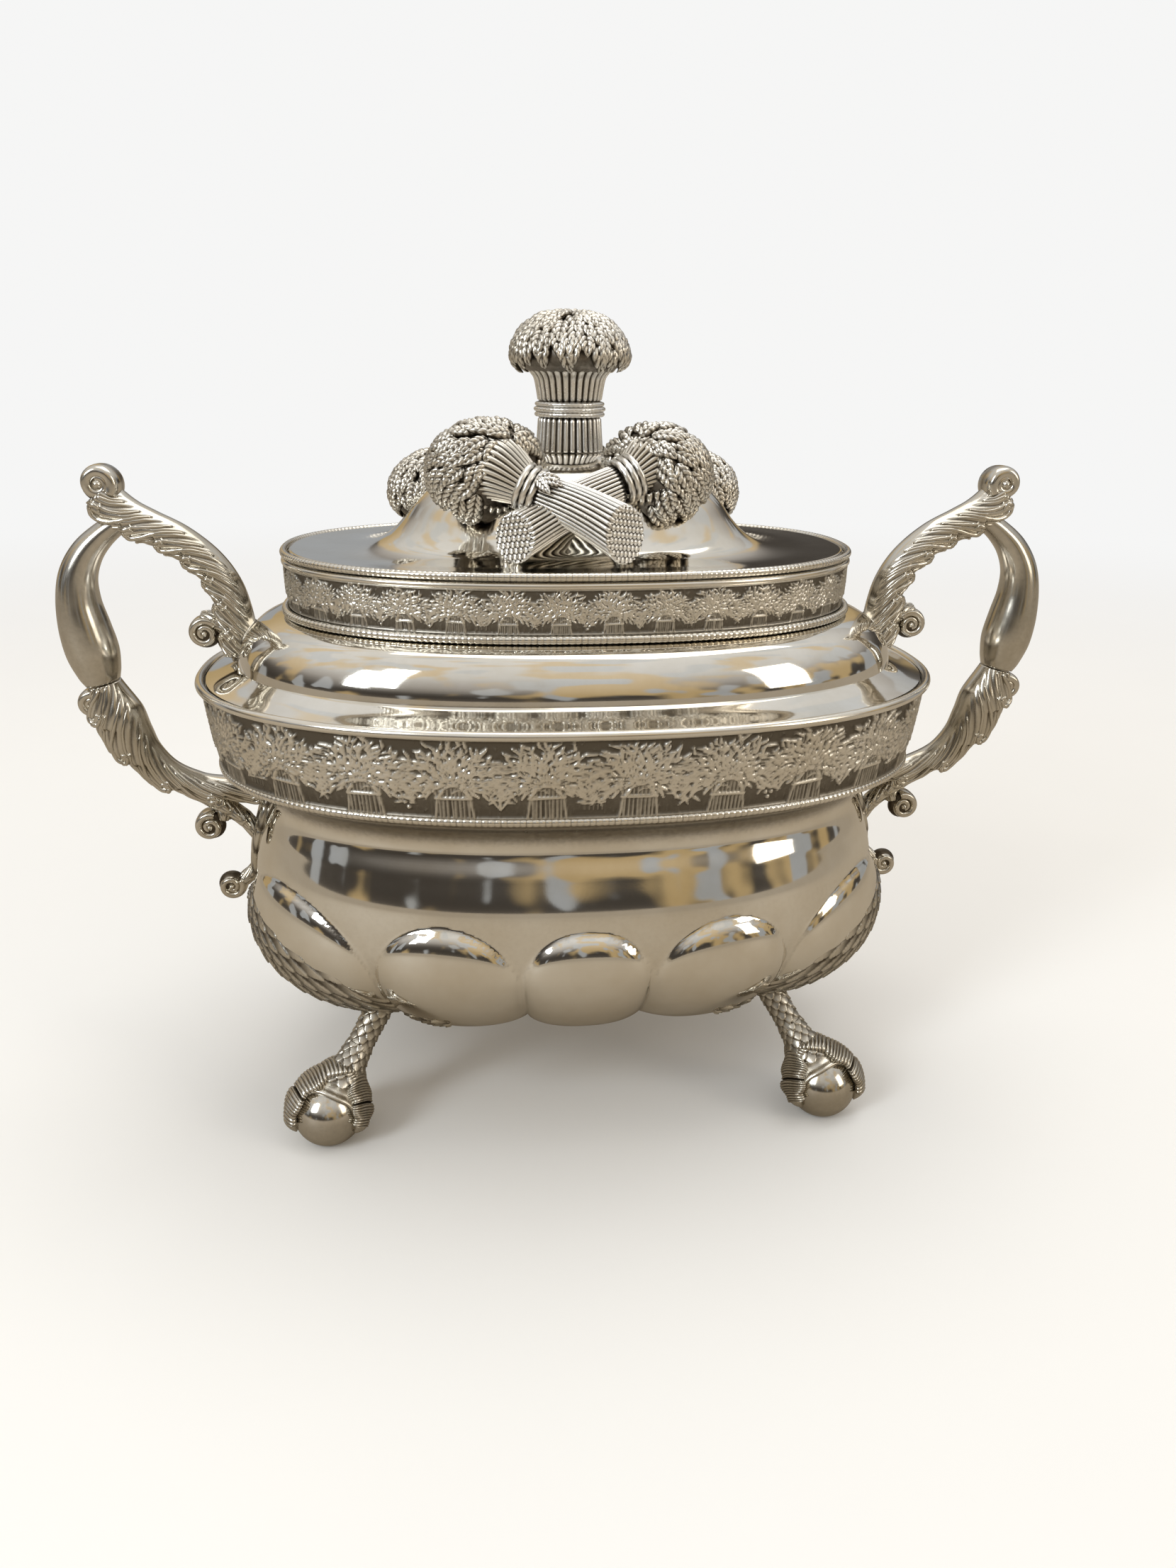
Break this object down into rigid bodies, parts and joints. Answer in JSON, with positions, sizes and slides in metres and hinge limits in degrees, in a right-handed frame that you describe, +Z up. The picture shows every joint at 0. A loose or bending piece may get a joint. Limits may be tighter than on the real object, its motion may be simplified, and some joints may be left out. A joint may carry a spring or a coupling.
{
  "type": "covered sugar bowl",
  "caption": "Oval silver covered sugar bowl with a lobed body, wheat-sheaf relief bands, scroll handles, claw-and-ball feet and a lift-off domed lid with a sheaf finial.",
  "frame": {"origin": "on the table top, under the middle of the bowl", "axes": "+X along the line of the two handles, -Y towards the front face, +Z up"},
  "size_m": [0.2714, 0.1368, 0.2135],
  "materials": {
    "bowl_sheet": "hand-polished silver with fine scratches and faint warm tarnish",
    "lid_sheet": "hand-polished silver with fine scratches and faint warm tarnish",
    "wire_trim": "bright polished silver wire",
    "die_rolled_band": "die-rolled relief in silver, bright on the high points and dark in the ground",
    "handle_casting": "cast and chased silver, dark in the cuts",
    "wheat_ears": "cast silver ears, bright tips over dark recesses",
    "wheat_stalks": "cast silver stalks with dark grooves",
    "chased_foot": "cast silver, scales and frills with dark recesses",
    "foot_ball": "polished silver ball",
    "hidden_fixing": "dull tarnished silver"
  },
  "bodies": {
    "bowl": {"bowl_body": "bowl_sheet", "lower_band": "die_rolled_band", "lower_band_bead": "wire_trim", "flange_rim_wire": "wire_trim", "shoulder": "bowl_sheet", "upper_band_bead": "wire_trim", "upper_band": "die_rolled_band", "upper_band_lip_wire": "wire_trim", "left_handle_upper_limb": "handle_casting", "left_handle_thumb_scroll": "handle_casting", "left_handle_grip": "handle_casting", "left_handle_lower_limb": "handle_casting", "left_handle_upper_volute": "handle_casting", "left_handle_lower_volute": "handle_casting", "left_handle_shoulder_leaf": "handle_casting", "left_handle_body_leaf": "handle_casting", "right_handle_upper_limb": "handle_casting", "right_handle_thumb_scroll": "handle_casting", "right_handle_grip": "handle_casting", "right_handle_lower_limb": "handle_casting", "right_handle_upper_volute": "handle_casting", "right_handle_lower_volute": "handle_casting", "right_handle_shoulder_leaf": "handle_casting", "right_handle_body_leaf": "handle_casting", "front_left_foot_knee_leaf": "chased_foot", "front_left_foot_leg": "chased_foot", "front_left_foot_claw": "chased_foot", "front_left_foot_ball": "foot_ball", "front_right_foot_knee_leaf": "chased_foot", "front_right_foot_leg": "chased_foot", "front_right_foot_claw": "chased_foot", "front_right_foot_ball": "foot_ball", "rear_left_foot_knee_leaf": "chased_foot", "rear_left_foot_leg": "chased_foot", "rear_left_foot_claw": "chased_foot", "rear_left_foot_ball": "foot_ball", "rear_right_foot_knee_leaf": "chased_foot", "rear_right_foot_leg": "chased_foot", "rear_right_foot_claw": "chased_foot", "rear_right_foot_ball": "foot_ball"},
    "lid": {"lid_cover": "lid_sheet", "lid_rim_wire": "wire_trim", "lid_bezel": "lid_sheet", "finial_stalks": "wheat_stalks", "finial_tie": "wire_trim", "finial_ears": "wheat_ears", "finial_stud": "hidden_fixing", "finial_nut": "hidden_fixing", "front_left_sheaf_stalks": "wheat_stalks", "front_left_sheaf_tie": "wire_trim", "front_left_sheaf_ears": "wheat_ears", "front_right_sheaf_stalks": "wheat_stalks", "front_right_sheaf_tie": "wire_trim", "front_right_sheaf_ears": "wheat_ears", "rear_right_sheaf_stalks": "wheat_stalks", "rear_right_sheaf_tie": "wire_trim", "rear_right_sheaf_ears": "wheat_ears", "rear_left_sheaf_stalks": "wheat_stalks", "rear_left_sheaf_tie": "wire_trim", "rear_left_sheaf_ears": "wheat_ears"}
  },
  "joints": [
    {"name": "lid_lift", "type": "slide", "parent": "bowl", "child": "lid", "axis": [0, 0, 1], "range_m": [0, 0.08]}
  ]
}
